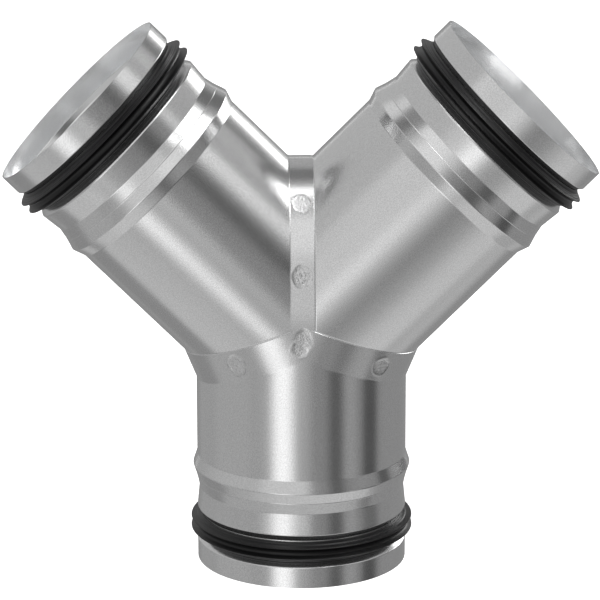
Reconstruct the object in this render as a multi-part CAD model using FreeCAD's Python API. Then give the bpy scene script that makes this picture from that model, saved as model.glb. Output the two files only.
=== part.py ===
import FreeCAD, Part
import math
import os

# Duct Y branch in galvanised sheet, in millimetres.
# It stands on the trunk's rim: the origin is the centre of that rim and +Z is up.
# The two branches lie in the XZ plane and the front faces -Y.

# Tubes
TUBE_D = 79.4            # outside diameter of the tubes and of the spigots' rims
SHEET = 0.5              # thickness of the sheet
TRUNK_LENGTH = 95.4      # from the point where the three axes meet to the trunk's rim
BRANCH_LENGTH = 117.5    # from the same point to a branch's rim
BRANCH_ANGLE = 45.0      # between a branch's axis and the vertical

# Spigot, from its rim inwards along the axis
RIM_LENGTH = 8.2         # plain cylinder in front of the seal's groove
GROOVE_DEPTH = 1.8
GROOVE_FLANK = 1.7       # length that each sloping side of the groove takes
GROOVE_FLOOR = 9.0
THROAT_LENGTH = 8.1      # slight cone behind the groove
THROAT_DROP = 0.8        # how far it falls below the tube
BEAD_SLOPE = 8.6         # length of the slope up to the stop bead's crest
BEAD_RISE = 1.6          # height of the stop bead above the tube
RUNOUT_LENGTH = 4.6      # from the crest back down to the tube

# Double-lip rubber seal
SEAL_FIT = 0.1           # clearance between the seal and the groove's floor
SEAL_LENGTH = 8.3        # along the groove's floor
LIP_RISE = 2.6           # lip crests above the tube
LIP_DEPTH = 1.7          # from the crests down to the valley between the lips
LIP_PITCH = 3.45
LIP_SETBACK = 2.6        # from the seal's front end to the first crest

# Lapped seams, where the flange of one sheet covers the flange of its neighbour
CROTCH_LAP = 9.4         # width of the seam between the two branches
TRUNK_LAP = 12.6         # width of the seams between the trunk and each branch
JOGGLE = 0.6             # length in which a covered flange steps inwards
LAP_FIT = 0.1            # clearance between the two lapped sheets
EDGE_GAP = 0.1           # between a cut edge and the sheet that steps below it
COVERED_SHORT = 1.0      # how far a covered flange stops short of the far bend
COVERED_SPLIT = 0.3      # clearance of the covered flanges from each other and the middle plane

# Spot welds
WELD_D = 6.4
WELD_DEPTH = 0.3
WELD_WALL = 0.7          # width of the sloping wall of a weld's dimple
WELD_SIDES = 12          # facets of that wall
CROTCH_WELDS = (37.5, 69.0)   # degrees round the crotch seam, from its top to the front
TRUNK_WELD = 51.5        # degrees round a trunk seam, from its outer side to the front
HUB_WELD_DROP = 1.0      # of the weld where the three seams meet, below the axes' meeting point

TUBE_R = TUBE_D / 2
COVERED_R = TUBE_R - SHEET - LAP_FIT
REACH = 400.0            # larger than the whole part, for bodies that only cut
CENTRE = FreeCAD.Vector(0, 0, 0)
UP = FreeCAD.Vector(0, 0, 1)
HUB = FreeCAD.Vector(0, 0, TRUNK_LENGTH)
TRUNK_AXIS = FreeCAD.Vector(0, 0, -1)
FRONT = FreeCAD.Vector(0, -1, 0)
RIGHT = FreeCAD.Vector(1, 0, 0)


def branch_axis(side):
    """Direction of a branch's axis; side is -1 for the left branch and +1 for the right."""
    angle = math.radians(BRANCH_ANGLE)
    return FreeCAD.Vector(side * math.sin(angle), 0, math.cos(angle))


def section_point(along, radius):
    """Point of a turned section: along the axis from the rim inwards, and out from the axis."""
    return FreeCAD.Vector(radius, 0, along)


def turned(section, axis, length):
    """Ring of a section about a leg's axis, with the section's start at the leg's rim."""
    body = section.revolve(CENTRE, UP, 360)
    turn = FreeCAD.Rotation(UP, axis * -1)
    body.Placement = FreeCAD.Placement(HUB + axis * length, turn)
    return body


def wall_section(length):
    """Wall of a spigot and its tube: the outer outline, thickened inwards by the sheet."""
    steps = [
        (0.0, 0.0),
        (RIM_LENGTH, 0.0),
        (GROOVE_FLANK, -GROOVE_DEPTH),
        (GROOVE_FLOOR, -GROOVE_DEPTH),
        (GROOVE_FLANK, 0.0),
        (THROAT_LENGTH, -THROAT_DROP),
        (BEAD_SLOPE, BEAD_RISE),
        (RUNOUT_LENGTH, 0.0),
    ]
    points = []
    along = 0.0
    for step, rise in steps:
        along += step
        points.append(section_point(along, TUBE_R + rise))
    points.append(section_point(length, TUBE_R))
    return Part.makePolygon(points).makeOffset2D(SHEET, 2, True, True)


def seal_section():
    """Rubber ring in the groove: a flat foot and two lips with a valley between them."""
    front = RIM_LENGTH + GROOVE_FLANK + SEAL_FIT
    back = front + SEAL_LENGTH
    floor = TUBE_R - GROOVE_DEPTH + SEAL_FIT
    crest = TUBE_R + LIP_RISE
    valley = crest - LIP_DEPTH
    first = front + LIP_SETBACK
    second = first + LIP_PITCH
    outline = [
        (front, floor),
        (first, crest),
        ((first + second) / 2, valley),
        (second, crest),
        (back, floor),
    ]
    points = [section_point(along, radius) for along, radius in outline]
    return Part.Face(Part.makePolygon(points + points[:1]))


class Seam:
    """Lapped seam between two legs: it holds its own frame, whose z runs from the covered
    sheet to the covering one and whose x runs outwards along the mitre plane."""

    def __init__(self, covered, covering, width):
        self.half = width / 2
        self.across = (covering - covered).normalize()
        self.out = (covering + covered).normalize()
        self.slant = covering.dot(self.across)
        self.shift = self.half * covering.dot(self.out) / self.slant
        self.edge = JOGGLE + EDGE_GAP - self.half
        side = self.across.cross(self.out)
        turn = FreeCAD.Rotation(self.out, side, self.across)
        self.place = FreeCAD.Placement(HUB + self.out * self.shift, turn)

    def outline(self, along, radius):
        """Ellipse in which a tube of this radius crosses the seam's planes."""
        centre = FreeCAD.Vector(0, 0, along)
        return Part.Wire(Part.Ellipse(centre, radius / self.slant, radius).toShape())

    def flange(self, start, end, radius):
        """Level stretch of sheet round the seam, with the ellipse of this radius outside."""
        rise = FreeCAD.Vector(0, 0, end - start)
        outer = Part.Face(self.outline(start, radius)).extrude(rise)
        inner = Part.Face(self.outline(start, radius - SHEET)).extrude(rise)
        return self.placed(outer.cut(inner))

    def joggle(self):
        """First stretch of a covered flange, in which it steps inwards."""
        start = -self.half
        end = start + JOGGLE
        outer = [self.outline(start, TUBE_R), self.outline(end, COVERED_R)]
        inner = [self.outline(start, TUBE_R - SHEET), self.outline(end, COVERED_R - SHEET)]
        return self.placed(Part.makeLoft(outer, True, True).cut(Part.makeLoft(inner, True, True)))

    def placed(self, body):
        body.Placement = self.place
        return body

    def beyond(self, along):
        """Block of all that lies past a plane of the seam, on the covering side."""
        return half_space(HUB + self.across * along, self.across)

    def before(self, along):
        """Block of all that lies before a plane of the seam, on the covered side."""
        return half_space(HUB + self.across * along, self.across * -1)

    def surface(self, degrees, side):
        """Point of the outer surface at mid seam and the direction square to it there.
        The angle starts at the outer end; side is -1 for the front and +1 for the back."""
        angle = math.radians(degrees)
        long_axis = TUBE_R / self.slant
        local = FreeCAD.Vector(long_axis * math.cos(angle), TUBE_R * math.sin(angle), 0)
        normal = FreeCAD.Vector(math.cos(angle) / long_axis, math.sin(angle) / TUBE_R, 0)
        point = self.place.multVec(local)
        square = self.place.Rotation.multVec(normal).normalize()
        if point.y * side < 0:
            point.y = -point.y
            square.y = -square.y
        return point, square


def half_space(point, normal):
    """Large block whose one face passes through the point, square to the normal."""
    block = Part.makeBox(2 * REACH, 2 * REACH, REACH, FreeCAD.Vector(-REACH, -REACH, 0))
    block.Placement = FreeCAD.Placement(point, FreeCAD.Rotation(UP, normal))
    return block


def within(body, *blocks):
    """The part of a body that lies inside every block."""
    for block in blocks:
        body = body.common(block)
    return body


def joined(bodies):
    """One body of pieces that meet face to face."""
    return bodies[0].multiFuse(bodies[1:]).removeSplitter()


def weld_cutter(point, normal):
    """Shallow tapered body that presses the dimple of a spot weld into a sheet."""
    rings = []
    for height in (-WELD_DEPTH, SHEET):
        radius = WELD_D / 2 + height * WELD_WALL / WELD_DEPTH
        corners = []
        for i in range(WELD_SIDES):
            angle = 2 * math.pi * i / WELD_SIDES
            corners.append(FreeCAD.Vector(radius * math.cos(angle), radius * math.sin(angle), height))
        rings.append(Part.makePolygon(corners + corners[:1]))
    cutter = Part.makeLoft(rings, True, True)
    cutter.Placement = FreeCAD.Placement(point, FreeCAD.Rotation(UP, normal))
    return cutter


def side_block(side, offset):
    """Block of all that lies beyond an offset from the middle plane, on one side."""
    return half_space(HUB + RIGHT * (side * offset), RIGHT * side)


LEFT_AXIS = branch_axis(-1)
RIGHT_AXIS = branch_axis(1)
CROTCH = Seam(RIGHT_AXIS, LEFT_AXIS, CROTCH_LAP)
TRUNK_SEAMS = {
    -1: Seam(LEFT_AXIS, TRUNK_AXIS, TRUNK_LAP),
    1: Seam(RIGHT_AXIS, TRUNK_AXIS, TRUNK_LAP),
}


def trunk():
    """Spigot and tube whose two flared flanges cover the lower flanges of the branches."""
    left = TRUNK_SEAMS[-1]
    right = TRUNK_SEAMS[1]
    tube = turned(wall_section(TRUNK_LENGTH), TRUNK_AXIS, TRUNK_LENGTH)
    bodies = [within(tube, left.beyond(left.half), right.beyond(right.half))]
    for side, seam in TRUNK_SEAMS.items():
        flange = seam.flange(seam.edge, seam.half, TUBE_R)
        bodies.append(within(flange, side_block(side, 0.0)))
    body = joined(bodies)
    for facing in (-1, 1):
        hub_point = HUB + FRONT * (-facing * TUBE_R) - UP * HUB_WELD_DROP
        body = body.cut(weld_cutter(hub_point, FRONT * -facing))
        for seam in TRUNK_SEAMS.values():
            body = body.cut(weld_cutter(*seam.surface(TRUNK_WELD, facing)))
    return body


def covered_by_trunk(side):
    """Lower flange of a branch: it steps inwards and runs down behind the trunk's flange."""
    seam = TRUNK_SEAMS[side]
    step = JOGGLE - seam.half
    corner = seam.flange(-seam.half, step, COVERED_R)
    skirt = seam.flange(step, seam.half - COVERED_SHORT, COVERED_R)
    beyond_crotch = side_block(side, CROTCH.half)
    beyond_middle = side_block(side, COVERED_SPLIT)
    under_crotch = side_block(-side, -CROTCH.half)
    return [
        within(seam.joggle(), beyond_crotch),
        within(corner, beyond_middle, under_crotch),
        within(skirt, beyond_middle),
    ]


def branch_tube(side, axis):
    """Spigot and tube of a branch, cut along its two seams."""
    seam = TRUNK_SEAMS[side]
    tube = turned(wall_section(BRANCH_LENGTH), axis, BRANCH_LENGTH)
    return within(tube, side_block(side, CROTCH.half), seam.before(-seam.half))


def left_branch():
    """Branch whose flange covers its neighbour's along the crotch and carries the welds."""
    flange = CROTCH.flange(CROTCH.edge, CROTCH.half, TUBE_R)
    seams = TRUNK_SEAMS.values()
    flange = flange.cut(within(*[seam.beyond(seam.edge) for seam in seams]))
    upper = joined([branch_tube(-1, LEFT_AXIS), flange])
    body = joined([upper] + covered_by_trunk(-1))
    for facing in (-1, 1):
        for degrees in CROTCH_WELDS:
            body = body.cut(weld_cutter(*CROTCH.surface(degrees, facing)))
    return body


def right_branch():
    """Branch whose flange steps inwards and runs under its neighbour's along the crotch."""
    own = TRUNK_SEAMS[1]
    other = TRUNK_SEAMS[-1]
    below = within(own.beyond(-own.half), other.beyond(-other.half - COVERED_SPLIT))
    skirt = CROTCH.flange(JOGGLE - CROTCH.half, CROTCH.half - COVERED_SHORT, COVERED_R)
    upper = joined([branch_tube(1, RIGHT_AXIS), CROTCH.joggle().cut(below), skirt.cut(below)])
    return joined([upper] + covered_by_trunk(1))


def seal(axis, length):
    return turned(seal_section(), axis, length)


def main():
    nodes = {
        "trunk": trunk(),
        "left_branch": left_branch(),
        "right_branch": right_branch(),
        "trunk_seal": seal(TRUNK_AXIS, TRUNK_LENGTH),
        "left_seal": seal(LEFT_AXIS, BRANCH_LENGTH),
        "right_seal": seal(RIGHT_AXIS, BRANCH_LENGTH),
    }
    os.makedirs("parts", exist_ok=True)
    for name, shape in nodes.items():
        solids = shape.Solids
        print(name, "solids", len(solids), "valid", shape.isValid(), "volume", round(shape.Volume, 1))
        body = solids[0] if len(solids) == 1 else shape
        body.exportStep(os.path.join("parts", name + ".step"))


main()
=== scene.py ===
import math

import bpy
import numpy as np
from mathutils import Matrix, Vector


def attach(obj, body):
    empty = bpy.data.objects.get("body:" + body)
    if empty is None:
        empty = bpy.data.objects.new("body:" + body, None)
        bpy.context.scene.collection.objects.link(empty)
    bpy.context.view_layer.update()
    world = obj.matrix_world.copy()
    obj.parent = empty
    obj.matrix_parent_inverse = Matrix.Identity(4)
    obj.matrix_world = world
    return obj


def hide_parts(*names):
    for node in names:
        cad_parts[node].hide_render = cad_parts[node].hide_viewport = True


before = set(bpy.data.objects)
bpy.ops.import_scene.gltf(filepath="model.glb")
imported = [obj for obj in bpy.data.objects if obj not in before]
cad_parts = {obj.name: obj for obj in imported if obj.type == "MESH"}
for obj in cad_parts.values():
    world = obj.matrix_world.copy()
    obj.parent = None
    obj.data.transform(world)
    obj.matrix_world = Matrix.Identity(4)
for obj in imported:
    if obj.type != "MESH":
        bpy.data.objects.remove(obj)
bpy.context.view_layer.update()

# Duct Y branch of spot-welded galvanised sheet. All sizes are millimetres until a mesh is made.
MM = 0.001

# Tubes: outer radius, sheet, height of the point where the axes meet, a branch's length to it
TUBE_R = 39.7
SHEET = 0.5
HUB_HEIGHT = 95.4
BRANCH_LENGTH = 117.5
HUB = np.array([0.0, 0.0, HUB_HEIGHT])

# Seams between the three tubes: half widths of the crotch strip and of the trunk's flanges, the
# gap beside a cut edge, and how far that edge is broken
CROTCH_HALF = 4.7
TRUNK_HALF = 6.3
CUT_GAP = 0.45
EDGE_ROUND = 0.12

# Covered flanges: outer radius, how much shorter than the cover they are, how they dip under it,
# as distances from the crease and shares of the dip, and how close before the crease the sheet is
# still plain
COVERED_R = 39.1
COVERED_SHORT = 1.0
STEP_DOWN = ((0.15, 0.05), (0.4, 0.35), (0.7, 0.65), (1.2, 1.0))
CREASE_START = 0.1

# Directions: the branches lean 45 degrees and the trunk's seams 22.5 degrees
S45 = math.sqrt(0.5)
SLANT = math.cos(math.radians(22.5))
LEAN = math.sin(math.radians(22.5))
ACROSS = np.array([LEAN, 0.0, -SLANT])
LEFT_AXIS = np.array([-S45, 0.0, S45])
LEFT_IN = np.array([S45, 0.0, S45])
LEFT_FRONT = np.array([0.0, -1.0, 0.0])
MIRROR = [-1.0, 1.0, 1.0]

# How far out of the left branch's axis the three seams meet, and how far out the ends of its
# covered lower flange may lie, which keeps them 0.3 mm clear of the middle plane
TRIPLE = (TRUNK_HALF / SLANT - CROTCH_HALF / S45) / (1 + LEAN / SLANT)
SKIRT_END = 4.522

# Rounding of the folds in the sheet: its reach, its steps, and where the next plain row lies
SEAM_FOLD = 0.4
FOLD_STEPS = 4
FOLD_CLEAR = SEAM_FOLD * 1.3

# Columns round half the trunk or round the upper part of a branch, and round a branch's lower
# part. They crowd together near the welds: angles and width in degrees, and gain. Then come the
# rows across the trunk's flange and across the strip.
COLUMNS = 211
LOWER_COLUMNS = 181
TRUNK_CROWD = ((180 - 51.3, 180 + 51.3), 8, 1.2)
BRANCH_CROWD = ((-69.0, -37.6, 37.6, 69.0), 6, 1.5)
TRUNK_FLANGE_ROWS = 34
STRIP_ROWS = 30

# Spigot from its rim inwards: distance along, radius, and how far from the corner its rounding
# starts
SPIGOT = [
    (0.0, 39.7, 0.0),
    (7.95, 39.7, 0.25),
    (9.9, 37.9, 0.2),
    (18.3, 37.9, 0.15),
    (20.6, 39.7, 0.4),
    (28.8, 38.9, 0.2),
    (32.95, 39.8, 0.08),
    (33.1, 39.9, 0.05),
    (33.3, 39.89, 0.08),
    (37.4, 41.24, 0.3),
    (42.0, 39.7, 0.25),
    (43.6, 39.7, 0.0),
]

# Seal in the spigot's groove, in the same way: foot, front lip, valley, back lip and back slope
SEAL = [
    (10.0, 38.0, 0.1),
    (10.15, 38.7, 0.15),
    (11.0, 39.5, 0.25),
    (11.45, 40.7, 0.25),
    (12.15, 42.15, 0.06),
    (12.3, 42.15, 0.04),
    (13.0, 41.0, 0.2),
    (13.4, 40.5, 0.2),
    (14.0, 40.35, 0.25),
    (14.7, 40.6, 0.2),
    (15.3, 41.0, 0.2),
    (16.1, 42.15, 0.06),
    (16.25, 42.1, 0.04),
    (16.5, 41.45, 0.1),
    (16.6, 40.8, 0.15),
    (16.85, 40.05, 0.2),
    (17.3, 39.55, 0.1),
    (17.38, 39.1, 0.1),
    (17.45, 38.75, 0.08),
]

# Back end of the seal's foot, measured from the heel, and where the heel is
SEAL_HEEL = [(-0.15, 38.6, 0.06), (-0.03, 38.3, 0.06), (0.0, 38.0, 0.03)]
TRUNK_HEEL = 17.75
BRANCH_HEEL = 18.22

# Seal's mesh: corner steps, distance between points, columns, and the ridges on the front lip's
# slope: height, pitch, how far along they go and between which radii
SEAL_CORNER_STEPS = 3
SEAL_STEP = 0.11
SEAL_COLUMNS = 300
RIDGE_HEIGHT = 0.05
RIDGE_PITCH = 1.0
RIDGE_END = 12.2
RIDGE_RADII = (38.8, 41.9)

# Angles in degrees from which an edge is drawn sharp
SHEET_SHARP = 32
SEAL_SHARP = 50

# Points of the outer grids that agree to 1/500 mm are one point
JOINS_PER_MM = 500


def rounded(corners, steps, closed=False):
    """Outline with its corners rounded: each corner is replaced by a parabola that starts and
    ends at the given distance from it, with one more point just outside each end."""
    corners = np.array(corners, float)
    points = []
    count = len(corners)
    for i in range(count):
        here, cut = corners[i, :2], corners[i, 2]
        if cut == 0.0:
            points.append(here)
            continue
        before = corners[(i - 1) % count, :2] - here
        after = corners[(i + 1) % count, :2] - here
        before /= np.linalg.norm(before)
        after /= np.linalg.norm(after)
        support = cut * 1.25  # keeps the shading of the flat beside the corner flat
        points.append(here + before * support)
        for u in np.linspace(0.0, 1.0, steps + 1):
            points.append(here + before * cut * (1 - u) ** 2 + after * cut * u ** 2)
        points.append(here + after * support)
    return np.array(points)


def inside_of(outline):
    """The outline moved inwards by the sheet's thickness, square to its own direction."""
    run = np.gradient(outline, axis=0)
    run /= np.linalg.norm(run, axis=1)[:, None]
    inner = outline + np.stack([run[:, 1], -run[:, 0]], axis=1) * SHEET
    inner[0] = outline[0] - [0.0, SHEET]
    inner[-1] = outline[-1] - [0.0, SHEET]
    return inner


def crowded(start, end, count, crowd):
    """Angles from start to end that lie closer together round the given spots: the running sum
    of a density of one plus a bell curve at each spot is read at even steps."""
    spots, width, gain = crowd
    fine = np.linspace(start, end, 4001)
    density = np.ones_like(fine)
    for spot in np.radians(spots):
        density += gain * np.exp(-((fine - spot) / math.radians(width)) ** 2)
    total = np.concatenate([[0.0], np.cumsum((density[1:] + density[:-1]) / 2)])
    return np.interp(np.linspace(0.0, total[-1], count), total, fine)


def fold(start, corner, end, steps):
    """Rows of a rounded fold between two rows: a parabola whose middle point is the corner."""
    rows = []
    for u in np.linspace(0.0, 1.0, steps + 1):
        rows.append(start * (1 - u) ** 2 + 2 * corner * u * (1 - u) + end * u ** 2)
    return rows


# Spot welds: radius of a plain mark, how far round it and to its sides of the sheet it reaches,
# the waver of its outline (waves round it and their size), and the waves of its crinkled floor
WELD_R = 3.2
WELD_REACH = 7.0
WELD_SIDES = 4.0
WAVER = ((2, 0.05), (3, 0.04), (5, 0.03))
CRINKLES = 14
CRINKLE_LENGTHS = (0.6, 1.8)
CRINKLE_HEIGHT = 0.01


class Weld:
    """Mark of one spot weld: where it is, the direction square to the sheet, its width and
    height, how deep it is pressed, and the seed of its crinkles."""

    def __init__(self, centre, normal, seed, width=6.6, height=6.8, depth=0.13):
        self.centre = np.array(centre, float)
        self.normal = np.array(normal, float) / np.linalg.norm(normal)
        self.seed, self.width, self.height, self.depth = seed, width, height, depth

    def relief(self, points):
        """Height of the mark, and its share: 1.5 in the middle, 0.5 on the outline, 0 from one
        and a half radii out. The mark is a shallow oval recess with a crinkled floor and a soft
        low ring round it. The oval's radius wavers with the angle as a sum of sines, and the
        crinkles are a sum of plane waves of random direction, length and phase."""
        chance = np.random.default_rng(self.seed)
        offset = points - self.centre
        height = offset @ self.normal
        flat = offset - height[..., None] * self.normal
        side = np.cross([0.0, 0.0, 1.0], self.normal)
        side /= np.linalg.norm(side)
        up = np.cross(self.normal, side)
        x = flat @ side * 2 * WELD_R / self.width
        y = flat @ up * 2 * WELD_R / self.height
        turn = np.arctan2(y, x)
        waver = 1 + sum(size * np.sin(k * turn + chance.uniform(0, 6.28)) for k, size in WAVER)
        away = np.hypot(x, y) / waver
        near = (np.abs(height) < WELD_SIDES) & (away < WELD_REACH)
        floor = 1 / (1 + np.exp((away - WELD_R + 0.3) / 0.2))
        ring = np.exp(-((away - WELD_R - 0.35) / 0.45) ** 2)
        crinkle = np.zeros_like(x)
        for _ in range(CRINKLES):
            heading = chance.uniform(0, math.pi)
            length = chance.uniform(*CRINKLE_LENGTHS)
            phase = chance.uniform(0, 6.28)
            along = x * math.cos(heading) + y * math.sin(heading)
            crinkle += length * np.sin(2 * math.pi * along / length + phase)
        middle = 1 / (1 + np.exp((away - WELD_R + 0.5) / 0.25))  # where the floor is crinkled
        relief = -self.depth * floor + 0.3 * self.depth * ring + CRINKLE_HEIGHT * middle * crinkle
        return np.where(near, relief, 0.0), np.clip(1.5 - away / WELD_R, 0, 1.5) * near


def pressed(outer, welds):
    """The outer surface with every weld's relief added along that weld's own normal."""
    moved = outer.copy()
    mark = np.zeros(outer.shape[:-1])
    for weld in welds:
        relief, here = weld.relief(outer)
        moved += relief[..., None] * weld.normal
        mark = np.maximum(mark, here)
    return moved, mark


def crotch_weld(degrees, side, *shape):
    """Weld on the strip between the branches, 0.3 mm left of its middle; side is -1 for the
    front."""
    angle = math.radians(degrees)
    height = CROTCH_HALF + TUBE_R * math.cos(angle) / S45
    centre = HUB + [-0.3, side * TUBE_R * math.sin(angle), height]
    return Weld(centre, [0.0, side * math.sin(angle) / S45, math.cos(angle)], *shape)


def band_weld(degrees, hand, side, *shape):
    """Weld in the middle of a trunk seam; hand is -1 for the left seam, side -1 for the front."""
    angle = math.radians(degrees)
    out = np.array([hand * SLANT, 0.0, -LEAN])
    front = np.array([0.0, side * math.sin(angle), 0.0])
    shift = TRUNK_HALF * LEAN / SLANT + TUBE_R * math.cos(angle) / SLANT
    centre = HUB + out * shift + np.array([0.0, side * TUBE_R * math.sin(angle), 0.0])
    return Weld(centre, out * math.cos(angle) * SLANT + front, *shape)


def hub_weld(side, right, up, *shape):
    """Weld where the three seams meet, moved a little right of and above that point."""
    return Weld(HUB + np.array([right, side * TUBE_R, up]), [0.0, side, 0.0], *shape)


# Sheet surfaces: grids of rows along a leg and columns round it, outside and inside


def sides():
    """Outline of the spigot and radius of the tube, on the outside and then on the inside."""
    outline = rounded(SPIGOT, FOLD_STEPS)
    return (outline, TUBE_R), (inside_of(outline), TUBE_R - SHEET)


def trunk_place(along, radius, angle):
    """Point of the trunk: along its axis from the rim, out from it and round it."""
    point = np.broadcast_arrays(radius * np.cos(angle), radius * np.sin(angle), along)
    return np.stack(point, axis=-1)


def left_place(along, radius, angle):
    """Point of the left branch: along its axis from its rim, out from it and round it, where
    the angle is 0 towards the crotch and 90 degrees towards the front."""
    level = (BRANCH_LENGTH - along)[..., None] * LEFT_AXIS
    inward = (radius * np.cos(angle))[..., None] * LEFT_IN
    forward = (radius * np.sin(angle))[..., None] * LEFT_FRONT
    return HUB + level + inward + forward


def trunk_half_flange(radius, angles, reach):
    """Flange of the trunk over the left branch: each point of the crease, an ellipse in the
    seam's plane, goes on straight against the seam's direction by the reach. The columns
    spread so that the last ones stay in the middle plane."""
    spread = (math.pi / 2 + np.arcsin(LEAN * reach / radius)) / (math.pi / 2)
    turn = math.pi + (angles - math.pi) * spread
    x = radius * np.cos(turn)
    height = HUB_HEIGHT - (TRUNK_HALF - LEAN * x) / SLANT
    return np.stack([x, radius * np.sin(turn), height], axis=-1) - ACROSS * reach


def trunk_rows(radius, angles):
    """Rows of the trunk above its spigot, as far as the flange's cut edge, on the left half.
    The edge is broken on the outside."""
    edge = EDGE_ROUND if radius == TUBE_R else 0.0
    x = radius * np.cos(angles)
    y = radius * np.sin(angles)
    crease_height = HUB_HEIGHT - (TRUNK_HALF - LEAN * x) / SLANT
    lowest = SPIGOT[-1][0]
    rows = []
    for share in (0.25, 0.5, 0.75, 0.92):
        height = lowest + (crease_height - FOLD_CLEAR - lowest) * share
        rows.append(np.stack([x, y, height], axis=-1))
    corner = np.stack([x, y, crease_height], axis=-1)
    below = corner - [0.0, 0.0, SEAM_FOLD]
    rows.append(corner - [0.0, 0.0, FOLD_CLEAR])
    above = trunk_half_flange(radius, angles, SEAM_FOLD)
    rows += fold(below, corner, above, FOLD_STEPS)
    end = 2 * TRUNK_HALF - CUT_GAP
    for reach in np.linspace(FOLD_CLEAR, end - EDGE_ROUND, TRUNK_FLANGE_ROWS):
        rows.append(trunk_half_flange(radius, angles, reach))
    rows.append(trunk_half_flange(radius - edge, angles, end))
    return np.array(rows)


def mirrored_half(rows):
    """Right half of the trunk: the left half's columns mirrored in the middle plane, without
    the two columns that both halves share."""
    flipped = rows[:, ::-1] * MIRROR
    return flipped[:, 1:-1]


def trunk_surface():
    """Outer and inner grids of the whole trunk, closed round the leg."""
    angles = crowded(math.pi / 2, 3 * math.pi / 2, COLUMNS, TRUNK_CROWD)
    grids = []
    for line, radius in sides():
        turned = trunk_place(line[:, :1], line[:, 1:], angles[None, :])
        left = np.concatenate([turned, trunk_rows(radius, angles)])
        grids.append(np.concatenate([left, mirrored_half(left)], axis=1))
    return [grids + [True]]


def branch_rows(radius, angles):
    """Rows of the left branch between its spigot and its creases: straight lines along the
    axis that end where the tube meets either the crotch seam's plane or the trunk seam's."""
    out = radius * np.cos(angles)
    crotch = out + CROTCH_HALF / S45
    lower = (TRUNK_HALF - LEAN * out) / SLANT
    crease = BRANCH_LENGTH - np.maximum(crotch, lower)
    start = SPIGOT[-1][0]
    rows = []
    for share in (0.2, 0.45, 0.7, 0.9):
        rows.append(left_place(start + (crease - FOLD_CLEAR - start) * share, radius, angles))
    rows.append(left_place(crease - FOLD_CLEAR, radius, angles))
    rows.append(left_place(crease - SEAM_FOLD, radius, angles))
    return np.array(rows)


def crotch_crease(radius, angles):
    """Ellipse in which the left tube crosses the plane of the strip's left edge."""
    height = CROTCH_HALF + radius * np.cos(angles) / S45
    x = np.full_like(height, -CROTCH_HALF)
    return HUB + np.stack([x, -radius * np.sin(angles), height], axis=-1)


def strip_rows(radius, angles):
    """Strip over the crotch seam: the crease carried level to the right. Below, each row is cut
    along the trunk flanges' edges, so the columns spread down to that line."""
    corner = crotch_crease(radius, angles)
    before = corner + LEFT_AXIS * SEAM_FOLD
    top = angles.max()
    edge = EDGE_ROUND if radius == TUBE_R else 0.0

    def row(x, round_off=0.0):
        foot = ((TRUNK_HALF - CUT_GAP - LEAN * abs(x)) / SLANT - CROTCH_HALF) * S45
        spread = math.acos(np.clip(foot / radius, -1, 1)) / top
        points = crotch_crease(radius - round_off, angles * spread)
        points[:, 0] = x
        return points

    rows = fold(before, corner, corner + [SEAM_FOLD, 0.0, 0.0], FOLD_STEPS)
    end = CROTCH_HALF - CUT_GAP
    for x in np.linspace(-CROTCH_HALF + FOLD_CLEAR, end - EDGE_ROUND, STRIP_ROWS):
        rows.append(row(x))
    rows.append(row(end, edge))
    return np.array(rows)


def right_skirt_rows(radius, angles):
    """Covered flange of the right branch along the crotch, as seen mirrored to the left: it
    steps inwards and runs on level under the neighbour's strip."""
    top = angles.max()
    inset = TUBE_R - COVERED_R
    corner = crotch_crease(radius, angles)
    rows = [corner + LEFT_AXIS * SEAM_FOLD, corner + LEFT_AXIS * CREASE_START]
    across = [-CROTCH_HALF, CROTCH_HALF]
    edge = [TRUNK_HALF - 0.2, TRUNK_HALF + 0.1]

    def row(x, inner):
        foot = (np.interp(-x, across, edge) - LEAN * abs(x)) / SLANT
        foot = (foot - CROTCH_HALF) * S45
        spread = math.acos(np.clip(foot / inner, -1, 1)) / top
        points = crotch_crease(inner, angles * spread)
        points[:, 0] = x
        return points

    for reach, share in STEP_DOWN:
        rows.append(row(-CROTCH_HALF + reach, radius - inset * share))
    for x in (-2.5, 0.0, CROTCH_HALF - COVERED_SHORT):
        rows.append(row(x, radius - inset))
    return np.array(rows)


def lower_skirt_rows(radius, angles):
    """Covered flange of the left branch under the trunk's flange: the crease carried along the
    seam's direction while it steps inwards; its ends stay just clear of the middle plane."""
    inset = TUBE_R - COVERED_R

    def row(reach, inner):
        limit = math.acos(np.clip((SKIRT_END - LEAN * reach) / inner, -1, 1))
        spread = (math.pi - limit) / (math.pi - angles.min())
        turn = math.pi + (angles - math.pi) * min(spread, 1.0)
        out = inner * np.cos(turn)
        place = left_place(BRANCH_LENGTH - (TRUNK_HALF - LEAN * out) / SLANT, inner, turn)
        return place + ACROSS * reach

    rows = [row(0.0, radius) + LEFT_AXIS * back for back in (SEAM_FOLD, CREASE_START)]
    for reach, share in STEP_DOWN:
        rows.append(row(reach, radius - inset * share))
    for reach in (3.0, 7.0, 2 * TRUNK_HALF - COVERED_SHORT):
        rows.append(row(reach, radius - inset))
    return np.array(rows)


def branch_surface(flange_rows):
    """Grids of a branch, as the left one: the closed tube, the flange along the crotch and the
    flange along the trunk, each outside and inside."""
    triple = math.acos(TRIPLE / TUBE_R)
    upper = crowded(-triple, triple, COLUMNS, BRANCH_CROWD)
    lower = np.linspace(triple, 2 * math.pi - triple, LOWER_COLUMNS)
    angles = np.concatenate([upper, lower[1:-1]])
    tube, crotch, skirt = [], [], []
    for line, radius in sides():
        along = np.repeat(line[:, :1], len(angles), axis=1)
        turned = left_place(along, line[:, 1:], angles[None, :])
        tube.append(np.concatenate([turned, branch_rows(radius, angles)]))
        crotch.append(flange_rows(radius, upper))
        skirt.append(lower_skirt_rows(radius, lower))
    return [tube + [True], crotch + [False], skirt + [False]]


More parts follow.
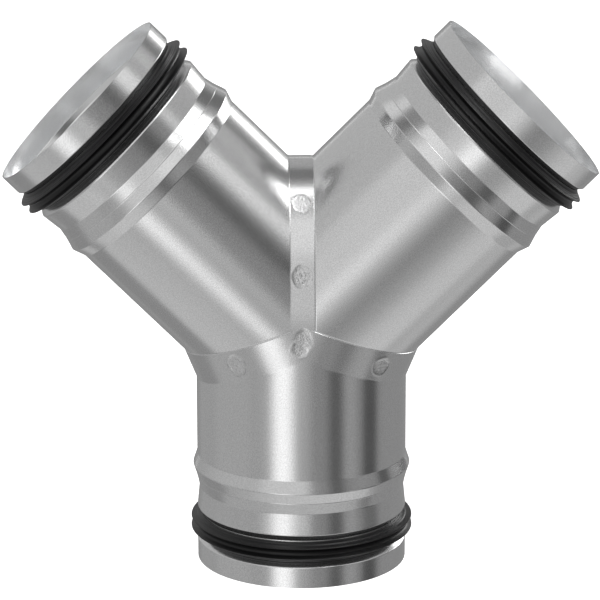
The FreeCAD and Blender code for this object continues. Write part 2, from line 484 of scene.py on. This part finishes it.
def grid_faces(first, rows, columns, closed):
    """Four-sided faces of a grid of points, rows by columns, joined round where it is closed."""
    index = first + np.arange(rows * columns).reshape(rows, columns)
    right = np.roll(index, -1, axis=1)
    last = columns if closed else columns - 1
    a, b = index[:-1, :last], right[:-1, :last]
    c, d = right[1:, :last], index[1:, :last]
    return np.stack([a, b, c, d], axis=-1).reshape(-1, 4)


def whole_faces(faces):
    """Faces without repeated corners, so that a face squeezed to three corners is a triangle."""
    kept = []
    for face in faces.tolist():
        corners = [v for i, v in enumerate(face) if v != face[i - 1]]
        if len(set(corners)) == len(corners) and len(corners) > 2:
            kept.append(corners)
    return kept


def new_piece(name, points, faces, material, node, sharp, marks=()):
    """Blender object of a closed mesh that stands for a CAD node, with its finish; marks are
    named values at the points, which the finish reads."""
    mesh = bpy.data.meshes.new(name)
    mesh.from_pydata((points * MM).tolist(), [], faces)
    mesh.shade_smooth()
    mesh.set_sharp_from_angle(angle=math.radians(sharp))
    for title, values in marks:
        layer = mesh.attributes.new(title, "FLOAT", "POINT")
        layer.data.foreach_set("value", values.astype(np.float32))
    mesh.materials.append(material)
    piece = bpy.data.objects.new(name, mesh)
    bpy.context.scene.collection.objects.link(piece)
    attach(piece, "root")
    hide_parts(node)
    return piece


def sheet_piece(name, node, patches, welds, mirror, material):
    """Folded sheet: the outer grids are joined where their points agree, the same faces are
    turned over for the inside, and every free edge is closed by the sheet's thickness."""
    outer = np.concatenate([p[0].reshape(-1, 3) for p in patches])
    inner = np.concatenate([p[1].reshape(-1, 3) for p in patches])
    faces = []
    first = 0
    for out, _, closed in patches:
        rows, columns = out.shape[:2]
        faces.append(grid_faces(first, rows, columns, closed))
        first += rows * columns
    keys = np.round(outer * JOINS_PER_MM).astype(np.int64)
    _, kept, same = np.unique(keys, axis=0, return_index=True, return_inverse=True)
    faces = same.reshape(-1)[np.concatenate(faces)]
    outer, inner = outer[kept], inner[kept]
    if mirror:
        outer, inner, faces = outer * MIRROR, inner * MIRROR, faces[:, ::-1]
    outer, mark = pressed(outer, welds)
    outside = whole_faces(faces)
    count = len(outer)
    inside = [[v + count for v in reversed(face)] for face in outside]
    starts = np.array([v for face in outside for v in face])
    ends = np.array([v for face in outside for v in face[1:] + face[:1]])
    free = ~np.isin(starts * count + ends, ends * count + starts)
    a, b = starts[free], ends[free]
    edge = np.stack([b, a, a + count, b + count], axis=1).tolist()
    points = np.concatenate([outer, inner])
    faces = outside + inside + edge
    marks = (
        ("weld_mark", np.concatenate([mark, np.zeros(count)])),
        ("inner_skin", np.repeat([0.0, 1.0], count)),
    )
    return new_piece(name, points, faces, material, node, SHEET_SHARP, marks)


def seal_piece(name, node, place, mirror, material, heel):
    """Rubber ring: the seal's outline, read at even steps, turned about a leg. Fine ridges on the
    front lip's slope are a sine of the distance along the outline, square to it. The heel is
    where the outline's back end meets the groove's floor."""
    foot = [(heel + back, radius, bend) for back, radius, bend in SEAL_HEEL]
    outline = rounded(SEAL + foot, SEAL_CORNER_STEPS, closed=True)
    loop = np.concatenate([outline, outline[:1]])
    step = np.linalg.norm(np.diff(loop, axis=0), axis=1)
    run = np.concatenate([[0.0], np.cumsum(step)])
    even = np.arange(0.0, run[-1], SEAL_STEP)
    along = np.interp(even, run, loop[:, 0])
    radius = np.interp(even, run, loop[:, 1])
    slope = np.stack([np.gradient(along), np.gradient(radius)], axis=1)
    slope /= np.linalg.norm(slope, axis=1)[:, None]
    ridged = (along < RIDGE_END) & (radius > RIDGE_RADII[0]) & (radius < RIDGE_RADII[1])
    ridge = RIDGE_HEIGHT * np.sin(2 * math.pi * even / RIDGE_PITCH) * ridged
    along = np.repeat((along - slope[:, 1] * ridge)[:, None], SEAL_COLUMNS, axis=1)
    radius = np.repeat((radius + slope[:, 0] * ridge)[:, None], SEAL_COLUMNS, axis=1)
    angles = np.linspace(0, 2 * math.pi, SEAL_COLUMNS, endpoint=False)
    points = place(along, radius, angles[None, :]).reshape(-1, 3)
    faces = grid_faces(0, len(even) + 1, SEAL_COLUMNS, True) % len(points)
    if mirror:
        points, faces = points * MIRROR, faces[:, ::-1]
    return new_piece(name, points, faces.tolist(), material, node, SEAL_SHARP)


# Node trees


class Graph:
    """Short ways to add nodes to the tree of a finish or of the studio. Each input is either a
    plain value or another node's output."""

    def __init__(self, tree):
        self.nodes, self.links = tree.nodes, tree.links

    def feed(self, socket, given):
        if isinstance(given, bpy.types.NodeSocket):
            self.links.new(given, socket)
        else:
            socket.default_value = given

    def maths(self, operation, *inputs):
        node = self.nodes.new("ShaderNodeMath")
        node.operation = operation
        for socket, given in zip(node.inputs, inputs):
            self.feed(socket, given)
        return node.outputs[0]

    def spread(self, source, low, high, to_low, to_high, curve="LINEAR"):
        """The range from low to high stretched to the range from to_low to to_high."""
        node = self.nodes.new("ShaderNodeMapRange")
        node.interpolation_type = curve
        for socket, given in zip(node.inputs, (source, low, high, to_low, to_high)):
            self.feed(socket, given)
        return node.outputs["Result"]

    def noise(self, scale, detail, distortion=0.0):
        """Noise in the object's own coordinates, in waves per metre."""
        place = self.nodes.get("Texture Coordinate") or self.nodes.new("ShaderNodeTexCoord")
        node = self.nodes.new("ShaderNodeTexNoise")
        self.feed(node.inputs["Vector"], place.outputs["Object"])
        self.feed(node.inputs["Scale"], scale)
        self.feed(node.inputs["Detail"], detail)
        self.feed(node.inputs["Distortion"], distortion)
        return node.outputs["Fac"]

    def value(self, name):
        """The mesh's own value of this name at each point."""
        node = self.nodes.new("ShaderNodeAttribute")
        node.attribute_name = name
        return node.outputs["Fac"]

    def bump(self, height, strength, distance, normal=None):
        node = self.nodes.new("ShaderNodeBump")
        self.feed(node.inputs["Height"], height)
        self.feed(node.inputs["Strength"], strength)
        self.feed(node.inputs["Distance"], distance)
        if normal is not None:
            self.feed(node.inputs["Normal"], normal)
        return node.outputs["Normal"]

    def mix(self, blend, factor, first, second):
        """Colours mixed by the factor."""
        node = self.nodes.new("ShaderNodeMix")
        node.data_type = "RGBA"
        node.blend_type = blend
        for name, given in (("Factor", factor), ("A", first), ("B", second)):
            self.feed(node.inputs[name], given)
        return node.outputs["Result"]


def new_material(name):
    """Material of this name, the graph of its tree and its shader's inputs."""
    material = bpy.data.materials.new(name)
    material.use_nodes = True
    return material, Graph(material.node_tree), material.node_tree.nodes["Principled BSDF"].inputs


# Zinc: tints outside and inside, the inside's lighter tint being painted light that brightens the
# mouths, lightness of the grain, how much darker a weld's cracks are, the painted shade along a
# weld's outline, and roughness of the sheet with what a scratch, a weld's mark and the inside add
OUTER_TINT = (0.931, 0.932, 0.934, 1)
INNER_PAINTED_LIGHT_TINT = (0.995, 0.9975, 1.0, 1)
GRAIN_TONE = (0.91, 1.07)
CRACK_TONE = -0.2
OUTLINE_PAINTED_SHADE = -0.26
SHEET_ROUGH = (0.18, 0.21)
SCRATCH_ROUGH = 0.02
MARK_ROUGH = 0.14
INNER_ROUGH = -0.035

# Scales of the zinc's noises, in waves per metre, and depths of its bumps, in metres
WAVES = 45.0
HAIRS = 90.0
OUTLINE_BREAKS = 420.0
CRACKS = 1500.0
GRAIN = 2400.0
SPECKS = 2900.0
GRAIN_DEPTH = 0.0002
CRACK_DEPTH = 0.0004


def galvanised_sheet():
    """Satin zinc: a metal with fine grain and faint hair scratches, grain-free and lighter inside as
    painted light that brightens the mouths, and rough and crinkled where a weld has marked it,
    with painted shade along a weld's outline. A hair scratch is where a slow, distorted noise
    passes its middle value. A weld's outline is where its share is about one half."""
    material, graph, inputs = new_material("galvanised_sheet")
    inputs["Metallic"].default_value = 1.0
    inner = graph.value("inner_skin")
    share = graph.value("weld_mark")
    mark = graph.spread(share, 0.4, 0.8, 0.0, 1.0)
    # Painted shade: a dark line, broken by noise, along a weld's outline where its recess bends in
    off_outline = graph.maths("ABSOLUTE", graph.maths("SUBTRACT", share, 0.52))
    breaks = graph.spread(graph.noise(OUTLINE_BREAKS, 1.0, 0.5), 0.44, 0.6, 0.0, 1.0)
    outline = graph.maths("MULTIPLY", graph.spread(off_outline, 0.0, 0.1, 1.0, 0.0), breaks)
    cracks = graph.spread(graph.noise(CRACKS, 1.0, 0.8), 0.34, 0.46, 1.0, 0.0)
    crack = graph.maths("MULTIPLY", mark, cracks)
    tone = graph.spread(graph.noise(SPECKS, 0.0), 0.3, 0.7, *GRAIN_TONE)
    tone = graph.maths("MULTIPLY_ADD", crack, CRACK_TONE, tone)
    tone = graph.maths("MULTIPLY_ADD", outline, OUTLINE_PAINTED_SHADE, tone)
    # Painted light: the inside gets a plain tone of one and the lighter inner tint, which brighten
    # the mouths' insides
    tone = graph.maths("MAXIMUM", tone, inner)
    tone = graph.maths("MINIMUM", tone, graph.spread(inner, 0.0, 1.0, GRAIN_TONE[1], 1.0))
    tint = graph.mix("MIX", inner, OUTER_TINT, INNER_PAINTED_LIGHT_TINT)
    graph.feed(inputs["Base Color"], graph.mix("MULTIPLY", 1.0, tint, tone))

    broad = graph.noise(WAVES, 2.0)
    off_hair = graph.maths("ABSOLUTE", graph.maths("SUBTRACT", graph.noise(HAIRS, 1.0, 1.5), 0.5))
    scratch = graph.spread(off_hair, 0.0, 0.003, 1.0, 0.0)
    rough = graph.spread(broad, 0.3, 0.7, *SHEET_ROUGH)
    for where, more in ((scratch, SCRATCH_ROUGH), (mark, MARK_ROUGH), (inner, INNER_ROUGH)):
        rough = graph.maths("MULTIPLY_ADD", where, more, rough)
    graph.feed(inputs["Roughness"], rough)

    normal = graph.bump(broad, 0.06, GRAIN_DEPTH)
    normal = graph.bump(graph.noise(GRAIN, 1.0), 0.06, GRAIN_DEPTH, normal)
    crinkled = graph.maths("MULTIPLY", mark, 0.5)
    normal = graph.bump(graph.noise(CRACKS, 2.0, 0.6), crinkled, CRACK_DEPTH, normal)
    graph.feed(inputs["Normal"], normal)
    return material


def seal_rubber():
    """Black moulded rubber with a dull sheen and a very fine grain."""
    material, graph, inputs = new_material("seal_rubber")
    inputs["Base Color"].default_value = (0.004, 0.004, 0.0045, 1)
    inputs["Roughness"].default_value = 0.34
    graph.feed(inputs["Normal"], graph.bump(graph.noise(1800.0, 2.0), 0.15, GRAIN_DEPTH))
    return material


zinc = galvanised_sheet()
rubber = seal_rubber()
for node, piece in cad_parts.items():
    piece.data.materials.clear()
    piece.data.materials.append(rubber if node.endswith("seal") else zinc)

# Weld marks, the front's as the photo shows them: place, seed, width, height and depth
trunk_welds = [
    hub_weld(-1, -1.1, -1.9, 5, 5.8, 5.8, 0.16),
    hub_weld(-1, 0.1, 1.2, 15, 7.6, 7.4, 0.07),
    band_weld(56.0, -1, -1, 7, 8.2, 8.6, 0.24),
    band_weld(47.6, 1, -1, 8, 7.0, 6.8, 0.14),
    hub_weld(1, 0.4, -0.6, 6),
    band_weld(51.0, -1, 1, 9),
    band_weld(52.5, 1, 1, 10),
]
strip_welds = [
    crotch_weld(37.7, -1, 1, 6.8, 7.6, 0.1),
    crotch_weld(69.0, -1, 2, 7.2, 8.6, 0.13),
    crotch_weld(38.5, 1, 3),
    crotch_weld(68.0, 1, 4),
]

sheet_piece("trunk_sheet", "trunk", trunk_surface(), trunk_welds, False, zinc)
sheet_piece("left_branch_sheet", "left_branch", branch_surface(strip_rows), strip_welds, False, zinc)
sheet_piece("right_branch_sheet", "right_branch", branch_surface(right_skirt_rows), [], True, zinc)
seal_piece("trunk_seal_ring", "trunk_seal", trunk_place, False, rubber, TRUNK_HEEL)
seal_piece("left_seal_ring", "left_seal", left_place, False, rubber, BRANCH_HEEL)
seal_piece("right_seal_ring", "right_seal", left_place, True, rubber, BRANCH_HEEL)


# Floor, light and camera


def floor_paper():
    """Plain paper of the floor: pale, and lit evenly enough to show no shadow."""
    material, _, inputs = new_material("floor_paper")
    inputs["Base Color"].default_value = (0.9, 0.9, 0.9, 1)
    inputs["Roughness"].default_value = 0.9
    inputs["Emission Color"].default_value = (1, 1, 1, 1)
    inputs["Emission Strength"].default_value = 1.0
    return material


def flat_floor(size):
    """Square floor that the rim stands on, in metres. The part doesn't mirror it."""
    half = size / 2
    corners = [(-half, -half, 0), (half, -half, 0), (half, half, 0), (-half, half, 0)]
    mesh = bpy.data.meshes.new("floor")
    mesh.from_pydata(corners, [], [(0, 1, 2, 3)])
    mesh.materials.append(floor_paper())
    floor = bpy.data.objects.new("floor", mesh)
    bpy.context.scene.collection.objects.link(floor)
    floor.visible_glossy = False
    floor.visible_diffuse = False
    return floor


# Studio round the part: panels seen from it, each with the azimuth and elevation of its middle,
# half its width and height, how softly its edge fades, all in degrees, and its brightness.
# Azimuth 0 is the camera's side and 90 is to its right.
STUDIO_GREY = 0.325
STUDIO = {
    "ground_sheet": (0, -75, 180, 30, 22, 0.49),
    "ground_front": (30, -68, 70, 22, 16, 0.53),
    "ground_back": (130, -64, 38, 12, 10, 0.36),
    "left_wall": (-105, 24, 75, 22, 18, 0.43),
    "left_low": (-85, -32, 25, 18, 12, 0.36),
    "low_left": (-130, -46, 22, 22, 12, 0.25),
    "back_low": (180, -12, 19, 20, 6, 0.19),
    "front_fill": (-11, 18, 33, 30, 16, 0.56),
    "front_upper": (-16, 44, 36, 16, 12, 0.72),
    "front_dip": (20, 37, 9, 9, 6, 0.4),
    "key_strip": (-21.5, -18, 11, 16, 16, 1.06),
    "right_side": (60, -1, 52, 29, 12, 0.225),
    "right_high": (95, 31, 24, 11, 8, 0.37),
    "sky_step_right": (107, 45, 13, 7.5, 5, 0.62),
    "flag_front_right": (37, -2, 8, 28, 12, 0.085),
    "strip_right": (54, -12, 7, 14, 8, 0.30),
    "window_right": (60, 34, 12, 7, 5, 0.76),
    "window_right_low": (68, 24, 6, 7, 5, 0.62),
    "flag_right": (80, -24, 10, 14, 8, 0.065),
    "wall_right": (125, -27, 32, 17, 12, 0.25),
    "slot_right": (96, 9, 8, 10, 5, 0.08),
    "window_back_right": (137, 11, 15.5, 8.5, 2.5, 3.0),
    "sill_back_right": (128, -5, 20, 4.5, 4, 0.11),
    "flag_back_right": (142, 38, 22, 12, 9, 0.135),
    "top_left_flag": (-76, 65, 30, 8, 9, 0.12),
    "top_left_glow": (-135, 55, 28, 10, 10, 0.62),
    "back_flag": (178, 68, 30, 12, 10, 0.155),
    "high_left_glow": (-128, 74, 30, 5, 6, 0.56),
    "upper_left": (-30, 73, 32, 6, 6, 0.66),
    "sky_corner": (34, 45, 6, 5, 4, 1.5),
    "sky_softbox": (69, 61.5, 42, 9, 2, 3.0),
    "zenith_softbox": (20, 86, 80, 7, 6, 1.5),
}

# Round grey backdrop behind the part, lit along its upper edge: angle from its middle, half width,
# softness and lowest elevation, all in degrees, and brightness
BACKDROP_TILT = math.radians(16.0)
BACKDROP_SOFT = 10.0
BACKDROP = [(0.0, 28.5, 3.0, -90.0, 0.27), (31.0, 1.3, 1.5, -9.0, 1.0)]


def studio_world():
    """Soft light from all round. A panel's share at a direction is a smooth step in azimuth
    times a smooth step in elevation; each panel is laid over those before it. The round backdrop
    and its lit edge are smooth steps in the angle from the backdrop's middle. The camera itself
    sees plain white past the floor."""
    world = bpy.data.worlds.new("studio")
    bpy.context.scene.world = world
    world.use_nodes = True
    graph = Graph(world.node_tree)
    nodes, maths = graph.nodes, graph.maths

    def fade(distance, half, soft):
        start, end = math.radians(half - soft / 2), math.radians(half + soft / 2)
        return graph.spread(distance, start, end, 1.0, 0.0, "SMOOTHSTEP")

    def off(angle, middle):
        return maths("SUBTRACT", angle, math.radians(middle))

    look = nodes.new("ShaderNodeTexCoord")
    parts = nodes.new("ShaderNodeSeparateXYZ")
    graph.feed(parts.inputs[0], look.outputs["Generated"])
    x, y, z = parts.outputs
    azimuth = maths("ARCTAN2", x, maths("MULTIPLY", y, -1.0))
    elevation = maths("ARCSINE", z)
    glow = STUDIO_GREY
    for middle, height, half_width, half_height, soft, value in STUDIO.values():
        turn = maths("WRAP", off(azimuth, middle), math.pi, -math.pi)
        across = fade(maths("ABSOLUTE", turn), half_width, soft) if half_width < 180 else 1.0
        along = fade(maths("ABSOLUTE", off(elevation, height)), half_height, soft)
        share = maths("MULTIPLY", along, across)
        glow = maths("MULTIPLY_ADD", share, maths("SUBTRACT", value, glow), glow)
    ahead = maths("MULTIPLY", y, math.cos(BACKDROP_TILT))
    below = maths("MULTIPLY", z, math.sin(BACKDROP_TILT))
    off_back = maths("ARCCOSINE", maths("SUBTRACT", ahead, below))
    under = maths("MULTIPLY", elevation, -1.0)
    for reach, half_width, soft, lowest, value in BACKDROP:
        share = fade(maths("ABSOLUTE", off(off_back, reach)), half_width, soft)
        share = maths("MULTIPLY", share, fade(under, -lowest, BACKDROP_SOFT))
        glow = maths("MULTIPLY_ADD", share, maths("SUBTRACT", value, glow), glow)
    background = nodes["Background"]
    graph.feed(background.inputs["Color"], glow)
    white = nodes.new("ShaderNodeBackground")
    white.inputs["Color"].default_value = (1, 1, 1, 1)
    path = nodes.new("ShaderNodeLightPath")
    shown = nodes.new("ShaderNodeMixShader")
    graph.feed(shown.inputs["Fac"], path.outputs["Is Camera Ray"])
    graph.feed(shown.inputs[1], background.outputs[0])
    graph.feed(shown.inputs[2], white.outputs[0])
    graph.feed(nodes["World Output"].inputs["Surface"], shown.outputs[0])


# Camera at the photograph's place, a long lens 1.35 m away: angles in degrees, the rest in metres,
# and the focal length and the picture's width in the photo's pixels
CAMERA_ELEVATION = 15.958
CAMERA_AZIMUTH = -1.208
CAMERA_ROLL = -0.103
CAMERA_DISTANCE = 1.3465
CAMERA_TARGET = (-0.00043, 0.0, 0.10082)
FOCAL_PIXELS = 3572.7
WIDTH_PIXELS = 600.0
SENSOR_MM = 36.0


def photo_camera():
    """Camera that looks at its target from the given azimuth and elevation and is then rolled."""
    elevation, azimuth = math.radians(CAMERA_ELEVATION), math.radians(CAMERA_AZIMUTH)
    roll = math.radians(CAMERA_ROLL)
    level = math.cos(elevation)
    forward = Vector((-math.sin(azimuth) * level, math.cos(azimuth) * level, -math.sin(elevation)))
    right = Vector((math.cos(azimuth), math.sin(azimuth), 0.0))
    up = right.cross(forward)
    rolled_right = right * math.cos(roll) + up * math.sin(roll)
    rolled_up = up * math.cos(roll) - right * math.sin(roll)
    turn = Matrix((rolled_right, rolled_up, -forward)).transposed()
    place = Vector(CAMERA_TARGET) - forward * CAMERA_DISTANCE
    data = bpy.data.cameras.new("photo_camera")
    data.sensor_width = SENSOR_MM
    data.lens = SENSOR_MM * FOCAL_PIXELS / WIDTH_PIXELS
    data.clip_end = 50.0
    camera = bpy.data.objects.new("photo_camera", data)
    camera.matrix_world = Matrix.Translation(place) @ turn.to_4x4()
    bpy.context.scene.collection.objects.link(camera)
    bpy.context.scene.camera = camera


flat_floor(30.0)
studio_world()
photo_camera()
bpy.context.scene.view_settings.view_transform = "Standard"

# Light that enters a mouth bounces many times between the walls before it leaves
bpy.context.scene.cycles.max_bounces = 30
bpy.context.scene.cycles.glossy_bounces = 30
